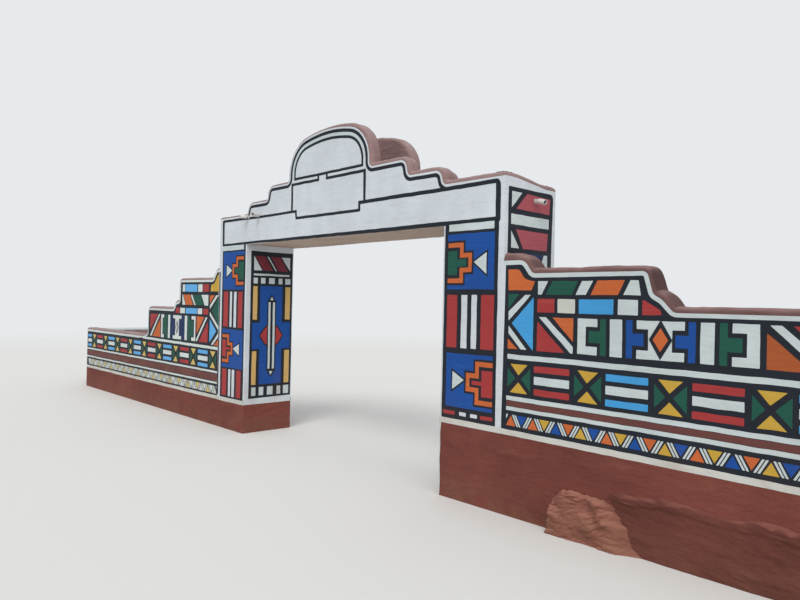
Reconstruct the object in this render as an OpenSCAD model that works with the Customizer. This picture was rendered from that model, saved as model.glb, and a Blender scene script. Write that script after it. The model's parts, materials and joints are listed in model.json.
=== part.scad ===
// Painted masonry gateway of a homestead: two square piers, a flat roof between
// two arched parapets, and a stepped boundary wall with a short return on each side.
// The front looks along -Y, Z is up, and the origin is on the ground at the centre
// of the whole footprint, in the middle of the passage. All lengths are millimetres.

/* [Gateway] */
// Clear width of the passage between the piers
opening_w = 3700; // [2400:10:4400]
// Clear height of the passage, from the lowest ground to the soffit
opening_h = 2600; // [2350:10:3200]
// Width of each pier along the front
pylon_w = 740; // [560:5:1000]
// Depth of the gateway from its front face to its rear face
gate_depth = 780; // [640:5:1200]
// Radius of the rubbed-down edges of the piers beside the passage
edge_r = 15; // [5:1:40]

/* [Roof and beams] */
// Thickness of the front and rear leaves and of the end walls
leaf_t = 160; // [120:5:200]
// Height of the front beam over the passage
lintel_h = 350; // [250:5:500]
// Thickness of the roof slab
slab_t = 150; // [100:5:220]
// How much lower the rear leaf stands than the front one
rear_drop = 50; // [20:5:90]

/* [Parapet] */
// Height of the plain wings of the parapet above the beam
wing_h = 50; // [30:5:200]
// Rise from the wing to the lower shoulder
shoulder_1_h = 150; // [100:5:260]
// Rise from the lower shoulder to the upper shoulder
shoulder_2_h = 175; // [100:5:260]
// Rise from the upper shoulder to the crown of the arch
arch_h = 545; // [530:5:800]
// Half width of the arch at its foot
arch_half_w = 770; // [720:5:790]
// How far the arch stands to the left of the middle of the passage
arch_offset = 55; // [0:5:80]
// Radius of the flat crown of the arch
crown_r = 2100; // [2000:20:2600]
// Distance from the middle to the edge of the upper shoulder
shoulder_2_x = 1295; // [1180:5:1400]
// Distance from the middle to the edge of the lower shoulder
shoulder_1_x = 1795; // [1700:5:1960]
// How far each rounded shoulder leans outwards as it falls
shoulder_lean = 38; // [0:1:60]
// Radius of the top of each shoulder
shoulder_r = 100; // [70:1:105]

/* [Coping] */
// Height of the rounded coping above the masonry
coping_h = 50; // [40:1:58]
// Radius of the coping's two rounded edges
coping_r = 45; // [20:1:50]
// Radius of the hollow corner where a step meets the level below
foot_r = 60; // [60:1:70]

/* [Boundary walls] */
// Thickness of the boundary walls
wall_t = 200; // [150:5:300]
// Length of each boundary wall from the pier to its end corner
wall_l = 5550; // [4200:10:7500]
// Length of the return behind each end corner, from the front face of the wall
return_l = 1500; // [1000:10:3000]

/* [Left wall] */
// Height of the terracotta plinth left of the passage
left_plinth_h = 390; // [150:5:700]
// Height of the left wall beside the pier
left_top_h = 2268; // [2230:1:2290]
// Height of the left wall's high stretch
left_high_h = 2126; // [2080:1:2160]
// Height of the left wall's small middle ledge
left_ledge_h = 1780; // [1740:1:1860]
// Height of the left wall's middle stretch
left_mid_h = 1660; // [1560:1:1680]
// Height of the left low wall
left_low_h = 1162; // [900:1:1240]
// Distance from the pier to the end of the left high stretch
left_step_x = 1288; // [1100:1:1380]
// Distance from the pier to the end of the left middle stretch
left_drop_x = 2493; // [2100:1:3000]

/* [Right wall] */
// Height of the terracotta plinth right of the passage
right_plinth_h = 705; // [400:5:900]
// Height of the right wall beside the pier
right_top_h = 2238; // [2210:1:2270]
// Height of the right wall's high stretch
right_high_h = 2121; // [2090:1:2150]
// Height of the right wall's middle stretch
right_mid_h = 1815; // [1780:1:1850]
// Height of the right low wall
right_low_h = 1411; // [1100:1:1480]
// Distance from the pier to the end of the right high stretch
right_step_x = 1331; // [1000:1:1700]
// Distance from the pier to the end of the right middle stretch
right_drop_x = 2620; // [2200:1:3200]

/* [Foot of the right wall] */
// How far the flared plaster foot stands out at the ground
toe_out = 45; // [20:1:120]
// Height at which the flared foot dies into the plinth
toe_h = 400; // [200:5:600]
// Distance from the pier to the start of the broken plaster lump
haunch_x = 520; // [300:5:900]
// Length of the broken plaster lump along the wall
haunch_l = 600; // [300:5:900]
// How far the broken plaster lump stands out from the wall
haunch_out = 150; // [80:5:260]
// Height of the broken plaster lump
haunch_h = 380; // [150:5:500]

/* [Cameras] */
// Length of a security camera's housing
camera_l = 78; // [50:1:140]
// Radius of a security camera's housing
camera_r = 24; // [18:1:32]
// Length of the arm that holds a camera off the wall
camera_arm = 22; // [18:1:60]

/* [Hidden] */
half_w = opening_w / 2 + pylon_w;
front_y = haunch_out - (return_l + haunch_out) / 2;
rear_y = front_y + gate_depth;
lintel_top = opening_h + lintel_h;
wing_z = lintel_top + wing_h;
shoulder_1_z = wing_z + shoulder_1_h;
shoulder_2_z = shoulder_1_z + shoulder_2_h;
crown_z = shoulder_2_z + arch_h;
end_x = half_w + wall_l;

// The fineness of small round parts
$fn = 32;
// The widest angle and the greatest length of one facet on a plastered arc
facet_angle = 12;
facet_length = 90;
// Facets on each rounded edge of the coping
edge_facets = 5;
// Two stations closer than this are one
same = 0.01;

// Half of the angle over which the flat crown of the arch sweeps
crown_half = 12;
// A swept fillet never takes more than this share of the edge beside it
fillet_share = 0.48;
// Margin by which a cutting shape passes the piece that it cuts
over = 20;

white_c = [0.87, 0.88, 0.87];
terracotta_c = [0.47, 0.26, 0.20];
coping_c = [0.59, 0.36, 0.29];
tan_c = [0.62, 0.52, 0.42];
camera_c = [0.85, 0.84, 0.82];
metal_c = [0.6, 0.6, 0.6];

// Outlines
// A profile is a list of corners [x, z, r], each one rounded by an arc of radius r.

function spot(c) = [c[0], c[1]];
function heading(a, b) = atan2(b[1] - a[1], b[0] - a[0]);
function along(h) = [cos(h), sin(h)];
function beside(h) = [-sin(h), cos(h)];

// How many facets an arc gets: by its angle, or by its length where it is large
function facets(r, turn) =
    max(2, ceil(abs(turn) / facet_angle), ceil(r * abs(turn) * PI / 180 / facet_length));

// Stations [x, z, heading] on the arc that rounds corner i
function arc_stations(p, i) =
    let (h1 = heading(p[i - 1], p[i]), turn = heading(p[i], p[i + 1]) - h1, r = p[i][2],
         start = spot(p[i]) - r * tan(abs(turn) / 2) * along(h1),
         centre = start + sign(turn) * r * beside(h1), n = facets(r, turn))
    [
        for (k = [0 : n])
            let (h = h1 + turn * k / n, at = centre - sign(turn) * r * beside(h))
            [at[0], at[1], h]
    ];

// Leaves out a station that lies on the one before it, as where two arcs meet
function distinct(s) =
    [for (i = [0 : len(s) - 1]) if (i == 0 || norm(spot(s[i]) - spot(s[i - 1])) > same) s[i]];

// All the stations of a profile, from its first corner to its last
function stations(p) =
    let (n = len(p))
    distinct([
        [p[0][0], p[0][1], heading(p[0], p[1])],
        for (i = [1 : 1 : n - 2]) each arc_stations(p, i),
        [p[n - 1][0], p[n - 1][1], heading(p[n - 2], p[n - 1])]
    ]);

// A profile and its mirror image, joined over the middle by the corner given
function both_sides(half, middle) =
    concat([for (i = [len(half) - 1 : -1 : 0]) [-half[i][0], half[i][1], half[i][2]]],
           [middle], half);

// The area under a profile, down to the level base_z
module under(p, base_z) {
    s = stations(p);
    polygon(concat([[s[0][0], base_z]], [for (c = s) spot(c)],
                   [[s[len(s) - 1][0], base_z]]));
}

// Section of the coping as [height above the masonry, distance through the wall]
function coping_section(t) =
    let (rise = coping_h - coping_r, steps = [0 : edge_facets])
    concat(
        [[0, 0]],
        [for (k = steps) let (a = 90 * k / edge_facets)
            [rise + coping_r * sin(a), coping_r * (1 - cos(a))]],
        [for (k = steps) let (a = 90 * k / edge_facets)
            [rise + coping_r * cos(a), t - coping_r * (1 - sin(a))]],
        [[0, t]]
    );

// The coping swept along a profile as one skin. The wall's outside lies at distance
// outside through the wall, and cuts says which ends are mitred back from it.
module coping_along(p, t, outside, cuts) {
    s = stations(p);
    ring = coping_section(t);
    m = len(ring);
    n = len(s);
    points = [
        for (i = [0 : n - 1], q = ring)
            let (back = abs(q[1] - outside), h = s[i][2],
                 slide = i == 0 ? cuts[0] * back : i == n - 1 ? -cuts[1] * back : 0,
                 at = spot(s[i]) + q[0] * beside(h) + slide * along(h))
            [at[0], at[1], q[1]]
    ];
    sides = [
        for (i = [0 : n - 2], j = [0 : m - 1])
            let (a = i * m + j, b = i * m + (j + 1) % m)
            each [[a, b, b + m], [a, b + m, a + m]]
    ];
    polyhedron(points, concat(
        [[for (j = [m - 1 : -1 : 0]) j]], sides, [[for (j = [0 : m - 1]) (n - 1) * m + j]]
    ));
}

// Stands a drawn profile up along the front, its thickness running back from y0
module along_front(y0) {
    translate([0, y0, 0]) rotate([90, 0, 0]) mirror([0, 0, 1]) children();
}

// Stands a drawn profile up from front to rear, its thickness running right from x0
module along_side(x0) {
    translate([x0, 0, 0]) rotate([90, 0, 90]) children();
}

// A box from its lowest corner to its highest corner
module span(low, high) {
    translate(low) cube(high - low);
}

// Profiles
// A fillet radius that fits the sloping edge between two corners
function fitted(r, a, b) =
    let (edge = norm(spot(b) - spot(a)), lean = abs(heading(a, b)))
    min(r, fillet_share * edge / tan(lean / 2));

// An S-shaped step from [x, z1] down to z2, leaning outwards
function ogee(x, z1, z2, lean, r_top) =
    let (a = [x, z1], b = [x + lean, z2])
    [[x, z1, fitted(r_top, a, b)], [x + lean, z2, min(foot_r, fitted(foot_r, a, b))]];

// Parapet: a three-centred arch between two pairs of rounded shoulders
crown_x = crown_r * tan(crown_half / 2);
haunch_z = crown_z - (arch_half_w - crown_x) * tan(crown_half);
haunch_edge = (arch_half_w - crown_x) / cos(crown_half);
arch_haunch_r = min(haunch_edge - crown_x, haunch_z - shoulder_2_z - foot_r)
    / tan((90 - crown_half) / 2);
parapet_half = concat(
    [[arch_half_w, haunch_z, arch_haunch_r], [arch_half_w, shoulder_2_z, foot_r]],
    ogee(shoulder_2_x, shoulder_2_z, shoulder_1_z, shoulder_lean, shoulder_r),
    ogee(shoulder_1_x, shoulder_1_z, wing_z, shoulder_lean, shoulder_r),
    [[half_w, wing_z, 0]]
);
arch_top = [0, haunch_z + arch_half_w * tan(crown_half), crown_r];
parapet = [
    for (c = both_sides(parapet_half, arch_top))
        abs(c[0]) <= arch_half_w ? [c[0] - arch_offset, c[1], c[2]] : c
];
arch_end = arch_half_w + arch_offset + foot_r + over;

// Top of an end wall, from the front face to the rear face
fall_r = 200;
end_profile = [
    [front_y, wing_z, 0], [front_y + leaf_t, wing_z, fall_r],
    [rear_y - leaf_t, wing_z - rear_drop, fall_r], [rear_y, wing_z - rear_drop, 0]
];

// Tops of the boundary walls, from the pier outwards. The last drop of each ends in
// a short ramp of the height and length given here.
ramp_h = 45;
ramp_l = 195;
ramp_r = 180;
drop_lean = 12;

left_ogee_x = 80;
left_ogee_lean = 112;
left_ledge_l = 132;
left_ledge_lean = 80;
left_corner_r = 40;
left_profile = concat(
    [[0, left_top_h, 0]],
    ogee(left_ogee_x, left_top_h, left_high_h, left_ogee_lean, shoulder_r),
    [[left_step_x, left_high_h, left_corner_r], [left_step_x, left_ledge_h, foot_r]],
    ogee(left_step_x + left_ledge_l, left_ledge_h, left_mid_h, left_ledge_lean, shoulder_r),
    [
        [left_drop_x, left_mid_h, foot_r],
        [left_drop_x + drop_lean, left_low_h + ramp_h, foot_r],
        [left_drop_x + drop_lean + ramp_l, left_low_h, ramp_r]
    ]
);
left_split = left_drop_x + drop_lean + ramp_l + foot_r;

right_ogee_x = 222;
right_ogee_lean = 88;
right_corner_r = 50;
// The right wall's upper step: a steep riser over a share of it, then a sweep
riser_share = 0.56;
riser_lean = 49;
sweep_l = 70;
sweep_fall = 40;
sweep_r = 100;
sweep_lean = 87;
riser_x = right_step_x + riser_lean;
riser_z = right_high_h - riser_share * (right_high_h - right_mid_h);
right_profile = concat(
    [[0, right_top_h, 0]],
    ogee(right_ogee_x, right_top_h, right_high_h, right_ogee_lean, shoulder_r),
    [
        [right_step_x, right_high_h, right_corner_r],
        [riser_x, riser_z, foot_r],
        [riser_x + sweep_l, riser_z - sweep_fall, sweep_r],
        [riser_x + sweep_l + sweep_lean, right_mid_h, foot_r],
        [right_drop_x, right_mid_h, foot_r],
        [right_drop_x + drop_lean, right_low_h + ramp_h, foot_r],
        [right_drop_x + drop_lean + ramp_l, right_low_h, ramp_r]
    ]
);
right_split = right_drop_x + drop_lean + ramp_l + foot_r;

// Piers
module pier_plan() {
    // drawn with the passage on its left, both edges beside the passage rounded
    union() {
        translate([edge_r, 0]) square([pylon_w - edge_r, gate_depth]);
        translate([0, edge_r]) square([pylon_w, gate_depth - 2 * edge_r]);
        for (y = [edge_r, gate_depth - edge_r])
            translate([edge_r, y]) circle(edge_r);
    }
}

module pier(z1, z2) {
    translate([opening_w / 2, front_y, z1]) linear_extrude(z2 - z1) pier_plan();
}

module left_pylon_plinth() {
    color(terracotta_c) mirror([1, 0, 0]) pier(0, left_plinth_h);
}

module left_pylon_shaft() {
    color(white_c) mirror([1, 0, 0]) pier(left_plinth_h, opening_h);
}

module right_pylon_plinth() {
    color(terracotta_c) pier(0, right_plinth_h);
}

module right_pylon_shaft() {
    color(white_c) pier(right_plinth_h, opening_h);
}

// Beams, roof and end walls
module front_lintel() {
    color(white_c)
        span([-half_w, front_y, opening_h], [half_w, front_y + leaf_t, lintel_top]);
}

module rear_lintel() {
    color(white_c)
        span([-half_w, rear_y - leaf_t, opening_h], [half_w, rear_y, lintel_top - rear_drop]);
}

module roof_slab() {
    x = half_w - leaf_t;
    color(tan_c)
        span([-x, front_y + leaf_t, opening_h], [x, rear_y - leaf_t, opening_h + slab_t]);
}

module end_wall() {
    intersection() {
        along_side(half_w - leaf_t) linear_extrude(leaf_t) under(end_profile, opening_h);
        span([0, front_y + leaf_t, opening_h], [half_w + over, rear_y - leaf_t, crown_z]);
    }
}

module left_end_wall() {
    color(white_c) mirror([1, 0, 0]) end_wall();
}

module right_end_wall() {
    color(white_c) end_wall();
}

// Parapets
module parapet_part(x1, x2) {
    intersection() {
        along_front(front_y) linear_extrude(leaf_t) under(parapet, lintel_top);
        span([x1, front_y - over, lintel_top], [x2, rear_y + over, crown_z + over]);
    }
}

module arch_leaf() {
    parapet_part(-arch_end, arch_end);
}

module shoulder_leaf() {
    parapet_part(arch_end, half_w);
}

module as_rear() {
    translate([0, gate_depth - leaf_t, -rear_drop]) children();
}

module front_arch() {
    color(white_c) arch_leaf();
}

module front_left_shoulders() {
    color(white_c) mirror([1, 0, 0]) shoulder_leaf();
}

module front_right_shoulders() {
    color(white_c) shoulder_leaf();
}

module rear_arch() {
    color(coping_c) as_rear() arch_leaf();
}

module rear_left_shoulders() {
    color(coping_c) as_rear() mirror([1, 0, 0]) shoulder_leaf();
}

module rear_right_shoulders() {
    color(coping_c) as_rear() shoulder_leaf();
}

// Copings of the gateway, mitred where they meet at the four corners
module front_coping() {
    color(coping_c) along_front(front_y) coping_along(parapet, leaf_t, 0, [1, 1]);
}

module rear_coping() {
    color(coping_c) as_rear() along_front(front_y)
        coping_along(parapet, leaf_t, leaf_t, [1, 1]);
}

module end_coping() {
    along_side(half_w - leaf_t) coping_along(end_profile, leaf_t, leaf_t, [1, 1]);
}

module left_end_coping() {
    color(coping_c) mirror([1, 0, 0]) end_coping();
}

module right_end_coping() {
    color(coping_c) end_coping();
}

// Boundary walls, drawn to the right of the gateway with x counted from the pier
module from_pier() {
    translate([half_w, 0, 0]) children();
}

module wall_plinth(h) {
    from_pier() span([0, front_y, 0], [wall_l, front_y + wall_t, h]);
}

module stepped_wall(profile, split, low_h, plinth_h) {
    from_pier() along_front(front_y) linear_extrude(wall_t)
        under(concat(profile, [[split, low_h, 0]]), plinth_h);
}

module low_wall(split, low_h, plinth_h) {
    from_pier() span([split, front_y, plinth_h], [wall_l, front_y + wall_t, low_h]);
}

module wall_coping(profile, low_h) {
    from_pier() along_front(front_y)
        coping_along(concat(profile, [[wall_l, low_h, 0]]), wall_t, 0, [0, 1]);
}

module return_block(z1, z2) {
    span([end_x - wall_t, front_y + wall_t, z1], [end_x, front_y + return_l, z2]);
}

module return_coping(low_h) {
    along_side(end_x - wall_t)
        coping_along([[front_y, low_h, 0], [front_y + return_l, low_h, 0]],
                     wall_t, wall_t, [1, 0]);
}

module left_wall_plinth() {
    color(terracotta_c) mirror([1, 0, 0]) wall_plinth(left_plinth_h);
}

module left_stepped_wall() {
    color(white_c) mirror([1, 0, 0])
        stepped_wall(left_profile, left_split, left_low_h, left_plinth_h);
}

module left_low_wall() {
    color(white_c) mirror([1, 0, 0]) low_wall(left_split, left_low_h, left_plinth_h);
}

module left_wall_coping() {
    color(coping_c) mirror([1, 0, 0]) wall_coping(left_profile, left_low_h);
}

module left_return_plinth() {
    color(terracotta_c) mirror([1, 0, 0]) return_block(0, left_plinth_h);
}

module left_return_wall() {
    color(coping_c) mirror([1, 0, 0]) return_block(left_plinth_h, left_low_h);
}

module left_return_coping() {
    color(coping_c) mirror([1, 0, 0]) return_coping(left_low_h);
}

module right_wall_plinth() {
    color(terracotta_c) wall_plinth(right_plinth_h);
}

module right_stepped_wall() {
    color(white_c) stepped_wall(right_profile, right_split, right_low_h, right_plinth_h);
}

module right_low_wall() {
    color(white_c) low_wall(right_split, right_low_h, right_plinth_h);
}

module right_wall_coping() {
    color(coping_c) wall_coping(right_profile, right_low_h);
}

module right_return_plinth() {
    color(terracotta_c) return_block(0, right_plinth_h);
}

module right_return_wall() {
    color(coping_c) return_block(right_plinth_h, right_low_h);
}

module right_return_coping() {
    color(coping_c) return_coping(right_low_h);
}

// Flared plaster foot and the broken lump of plaster before it
toe_edge_share = 0.65;
haunch_end = haunch_x + haunch_l;
haunch_shoulder_share = 0.6;
ridge_t = 10;
// The lump's outline at the ground and on top, seen from above, as shares of its
// length along the wall and of its reach out of it
haunch_foot = [[0, 0], [0.1, -0.75], [0.35, -1], [0.7, -0.8]];
haunch_ridge = [[0.06, 0], [0.3, -0.4], [0.65, -0.35], [0.96, 0]];

module right_wall_foot() {
    color(terracotta_c)
        translate([half_w + haunch_end, front_y, 0]) rotate([90, 0, 90])
            linear_extrude(wall_l - haunch_end)
                polygon([[0, 0], [-toe_out, 0], [-toe_out, toe_edge_share * toe_h], [0, toe_h]]);
}

function of_haunch(shares) = [for (q = shares) [q[0] * haunch_l, q[1] * haunch_out]];

module right_wall_haunch() {
    color(terracotta_c) translate([half_w + haunch_x, front_y, 0]) hull() {
        linear_extrude(haunch_shoulder_share * haunch_h)
            polygon(concat(of_haunch(haunch_foot), [[haunch_l, -toe_out], [haunch_l, 0]]));
        translate([0, 0, haunch_h - ridge_t])
            linear_extrude(ridge_t) polygon(of_haunch(haunch_ridge));
    }
}

// Security cameras: a base and arm square to the wall, a ball, and a housing on a neck
camera_base_r = 24;
camera_base_t = 8;
camera_arm_r = 7;
camera_ball_r = 11;
camera_neck = 14;
lens_r = 12;
lens_depth = 8;
rim_t = 4;
visor_t = 2.5;
visor_over = 8;
visor_lap = 0.5;
visor_start = 14;

// Turns what points along +X to point along the bearing az, then el degrees up
module aimed(az, el) {
    rotate([0, 0, az]) rotate([0, -el, 0]) children();
}

// What stands on the wall, built up along +Z; the wall's outward bearing is out
module on_wall(out) {
    aimed(out, 0) rotate([0, 90, 0]) children();
}

// What follows the ball's aim, built up along +Z from the ball's middle
module from_ball(out, aim) {
    aimed(out, 0) translate([camera_arm, 0, 0])
        aimed(aim[0] - out, aim[1]) rotate([0, 90, 0]) children();
}

module camera_bracket(at, out, aim) {
    translate(at) {
        on_wall(out) {
            cylinder(camera_base_t, r = camera_base_r);
            cylinder(camera_arm, r = camera_arm_r);
            translate([0, 0, camera_arm]) sphere(camera_ball_r);
        }
        from_ball(out, aim) cylinder(camera_neck, r = camera_arm_r);
    }
}

// The housing is a tube with its lens set back behind the rim
module camera_tube() {
    difference() {
        cylinder(camera_l, r = camera_r);
        translate([0, 0, camera_l - lens_depth])
            cylinder(lens_depth + over, r = camera_r - rim_t);
    }
    translate([0, 0, camera_l - lens_depth - visor_t]) cylinder(lens_depth, r = lens_r);
}

// The visor is the upper part of a thin sleeve that reaches out past the lens
module camera_visor() {
    reach = camera_l + visor_over;
    difference() {
        translate([0, 0, visor_start]) cylinder(reach - visor_start, r = camera_r + visor_t);
        cylinder(reach + over, r = camera_r - visor_lap);
        translate([camera_r / 2, -2 * camera_r, 0])
            cube([2 * camera_r, 4 * camera_r, reach + over]);
    }
}

module camera_housing(at, out, aim) {
    translate(at) from_ball(out, aim) translate([0, 0, camera_neck]) {
        camera_tube();
        camera_visor();
    }
}

// Places on the wall, the wall's outward bearing, and aims as [bearing, tilt]
pair_gap = 255;
front_bearing = -90;
side_bearing = 0;
pair_inset = 50;
pair_below = 28;
side_depth_share = 0.58;
side_height_share = 0.63;
left_camera_at = [-opening_w / 2 + pair_inset, front_y, wing_z - pair_below];
middle_camera_at = left_camera_at + [pair_gap, 0, 0];
right_camera_at = [
    half_w, front_y + side_depth_share * gate_depth, opening_h + side_height_share * lintel_h
];
left_camera_aim = [-112, 0];
middle_camera_aim = [-72, 4];
right_camera_aim = [-6, -14];

module left_camera_bracket() {
    color(metal_c) camera_bracket(left_camera_at, front_bearing, left_camera_aim);
}

module left_camera() {
    color(camera_c) camera_housing(left_camera_at, front_bearing, left_camera_aim);
}

module middle_camera_bracket() {
    color(metal_c) camera_bracket(middle_camera_at, front_bearing, middle_camera_aim);
}

module middle_camera() {
    color(camera_c) camera_housing(middle_camera_at, front_bearing, middle_camera_aim);
}

module right_camera_bracket() {
    color(metal_c) camera_bracket(right_camera_at, side_bearing, right_camera_aim);
}

module right_camera() {
    color(camera_c) camera_housing(right_camera_at, side_bearing, right_camera_aim);
}

left_pylon_plinth();
left_pylon_shaft();
right_pylon_plinth();
right_pylon_shaft();
front_lintel();
rear_lintel();
roof_slab();
left_end_wall();
right_end_wall();
front_arch();
front_left_shoulders();
front_right_shoulders();
rear_arch();
rear_left_shoulders();
rear_right_shoulders();
front_coping();
rear_coping();
left_end_coping();
right_end_coping();
left_wall_plinth();
left_stepped_wall();
left_low_wall();
left_wall_coping();
left_return_plinth();
left_return_wall();
left_return_coping();
right_wall_plinth();
right_stepped_wall();
right_low_wall();
right_wall_coping();
right_return_plinth();
right_return_wall();
right_return_coping();
right_wall_foot();
right_wall_haunch();
left_camera_bracket();
left_camera();
middle_camera_bracket();
middle_camera();
right_camera_bracket();
right_camera();
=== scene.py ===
"""Looks of the painted masonry gateway: hand-painted plaster, rounded copings and a rough plaster foot."""

import json
from math import atan2, ceil, copysign, cos, exp, hypot, pi, radians, sin, tan

import bmesh
import bpy
from mathutils import Matrix, Vector, noise


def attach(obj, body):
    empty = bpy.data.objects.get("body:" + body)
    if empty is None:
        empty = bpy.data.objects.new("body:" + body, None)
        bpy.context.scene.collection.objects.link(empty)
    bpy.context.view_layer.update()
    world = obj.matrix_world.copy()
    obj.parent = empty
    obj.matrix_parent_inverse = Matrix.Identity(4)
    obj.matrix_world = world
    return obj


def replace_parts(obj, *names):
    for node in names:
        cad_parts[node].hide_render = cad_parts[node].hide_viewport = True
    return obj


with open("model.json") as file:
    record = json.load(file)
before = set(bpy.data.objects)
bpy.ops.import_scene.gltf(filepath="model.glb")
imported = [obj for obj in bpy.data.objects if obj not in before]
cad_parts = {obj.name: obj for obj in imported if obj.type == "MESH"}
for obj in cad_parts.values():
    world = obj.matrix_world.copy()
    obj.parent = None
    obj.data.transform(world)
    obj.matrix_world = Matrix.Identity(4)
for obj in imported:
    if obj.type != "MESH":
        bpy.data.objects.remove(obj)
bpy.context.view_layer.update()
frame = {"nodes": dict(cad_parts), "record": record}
scene = bpy.context.scene
scene.view_settings.view_transform = "Standard"
noise.seed_set(1)  # without it the hand-drawn edges differ from run to run

# --- sizes, as in the part's source
OPEN_W, OPEN_H, PIER_W, DEPTH = 3.7, 2.6, 0.74, 0.78
LEAF, DROP, WALL_T, WALL_L, RETURN_L = 0.16, 0.05, 0.2, 5.55, 1.5
HAUNCH_X, HAUNCH_OUT = 0.52, 0.15
COPING_H, COPING_R = 0.05, 0.045
INNER = OPEN_W / 2
HALF = INNER + PIER_W
FRONT = (HAUNCH_OUT - RETURN_L) / 2
REAR = FRONT + DEPTH
WING, SHOULDER_1, SHOULDER_2, CROWN = 3, 3.15, 3.325, 3.87
ARCH_HALF, ARCH_OFFSET = 0.77, 0.055
LEFT_PLINTH, RIGHT_PLINTH = 0.39, 0.705
LEFT_LOW, RIGHT_LOW = 1.162, 1.411
MARGIN = 0.012
PAINT_END = WALL_L - MARGIN


def fitted(r, a, b):
    """A fillet radius that fits the sloping edge between two corners."""
    edge = hypot(b[0] - a[0], b[1] - a[1])
    lean = abs(atan2(b[1] - a[1], b[0] - a[0]))
    return min(r, 0.48 * edge / tan(lean / 2))


def ogee(x, z1, z2, lean, r_top=0.1, r_foot=0.06):
    """An S-shaped step from (x, z1) down to z2, leaning outwards."""
    a, b = (x, z1), (x + lean, z2)
    return [(x, z1, fitted(r_top, a, b)), (x + lean, z2, fitted(r_foot, a, b))]


def parapet():
    """The arch between two pairs of rounded shoulders, from left to right."""
    crown_r, turn = 2.1, radians(12)
    crown_x = crown_r * tan(turn / 2)
    corner_z = CROWN - (ARCH_HALF - crown_x) * tan(turn)
    edge = (ARCH_HALF - crown_x) / cos(turn)
    corner_r = min(edge - crown_x, corner_z - SHOULDER_2 - 0.06) / tan((pi / 2 - turn) / 2)
    side = [(ARCH_HALF, corner_z, corner_r), (ARCH_HALF, SHOULDER_2, 0.06)]
    side += ogee(1.295, SHOULDER_2, SHOULDER_1, 0.038) + ogee(1.795, SHOULDER_1, WING, 0.038)
    side += [(HALF, WING, 0)]
    apex = (0, corner_z + ARCH_HALF * tan(turn), crown_r)
    line = [(-x, z, r) for x, z, r in reversed(side)] + [apex] + side
    return [(x - ARCH_OFFSET if abs(x) <= ARCH_HALF else x, z, r) for x, z, r in line]


def left_top():
    """Top of the left boundary wall, from the pier outwards."""
    line = [(0, 2.268, 0)] + ogee(0.08, 2.268, 2.126, 0.112)
    line += [(1.288, 2.126, 0.04), (1.288, 1.78, 0.06)] + ogee(1.42, 1.78, 1.66, 0.08)
    line += [(2.493, 1.66, 0.06), (2.505, 1.207, 0.06), (2.7, LEFT_LOW, 0.18)]
    return line + [(WALL_L, LEFT_LOW, 0)]


def right_top():
    """Top of the right boundary wall, from the pier outwards."""
    line = [(0, 2.238, 0)] + ogee(0.222, 2.238, 2.121, 0.088)
    line += [(1.331, 2.121, 0.05), (1.38, 1.9496, 0.06), (1.45, 1.9096, 0.1), (1.537, 1.815, 0.06)]
    line += [(2.62, 1.815, 0.06), (2.632, 1.456, 0.06), (2.827, RIGHT_LOW, 0.18)]
    return line + [(WALL_L, RIGHT_LOW, 0)]


def rounded(corners, step=0.025, turn_step=radians(6)):
    """Closely spaced (x, z, heading) along a profile of corners (x, z, r)."""
    heads = [atan2(b[1] - a[1], b[0] - a[0]) for a, b in zip(corners, corners[1:])]
    marks = [(*corners[0][:2], heads[0])]
    for i in range(1, len(corners) - 1):
        (x, z, r), h, turn = corners[i], heads[i - 1], heads[i] - heads[i - 1]
        back = r * tan(abs(turn) / 2)
        side = copysign(1, turn)
        cx = x - back * cos(h) - side * r * sin(h)
        cz = z - back * sin(h) + side * r * cos(h)
        n = max(2, ceil(abs(turn) / turn_step), ceil(r * abs(turn) / step))
        for k in range(n + 1):
            a = h + turn * k / n
            marks.append((cx + side * r * sin(a), cz - side * r * cos(a), a))
    marks.append((*corners[-1][:2], heads[-1]))
    line = [marks[0]]
    for mark in marks[1:]:
        x, z, _ = line[-1]
        gap = hypot(mark[0] - x, mark[1] - z)
        if gap < 1e-5:
            continue
        n = ceil(gap / step)
        line += [(x + (mark[0] - x) * k / n, z + (mark[1] - z) * k / n, mark[2]) for k in range(1, n)]
        line.append(mark)
    return line


def below(line, d):
    """The profile line moved down into the wall by d, a number or a table of (x, depth)."""
    return [(x + by * sin(h), z - by * cos(h)) for x, z, h in line for by in (between(d, x),)]


def between(table, x):
    """The value at x in a table of (x, value), or the number given in its place."""
    if not isinstance(table, list):
        return table
    for (x0, a), (x1, b) in zip(table, table[1:]):
        if x < x1:
            return a + (b - a) * max(0, x - x0) / (x1 - x0)
    return table[-1][1]


PARAPET, LEFT_TOP, RIGHT_TOP = rounded(parapet()), rounded(left_top()), rounded(right_top())
SIDES = ((1, "right", RIGHT_TOP, RIGHT_PLINTH, RIGHT_LOW), (-1, "left", LEFT_TOP, LEFT_PLINTH, LEFT_LOW))
REAR_PARAPET = [(x, z - DROP, h) for x, z, h in PARAPET]
END_TOP = [(FRONT, WING, 0), (FRONT + LEAF, WING, 0.2), (REAR - LEAF, WING - DROP, 0.2), (REAR, WING - DROP, 0)]


# --- materials
def srgb(r, g, b):
    """A colour as seen on screen, 0 to 255, in the linear values that the shader takes."""
    return (*(c / 12.92 if c < 0.04045 else ((c + 0.055) / 1.055) ** 2.4 for c in (r / 255, g / 255, b / 255)), 1)


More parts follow.
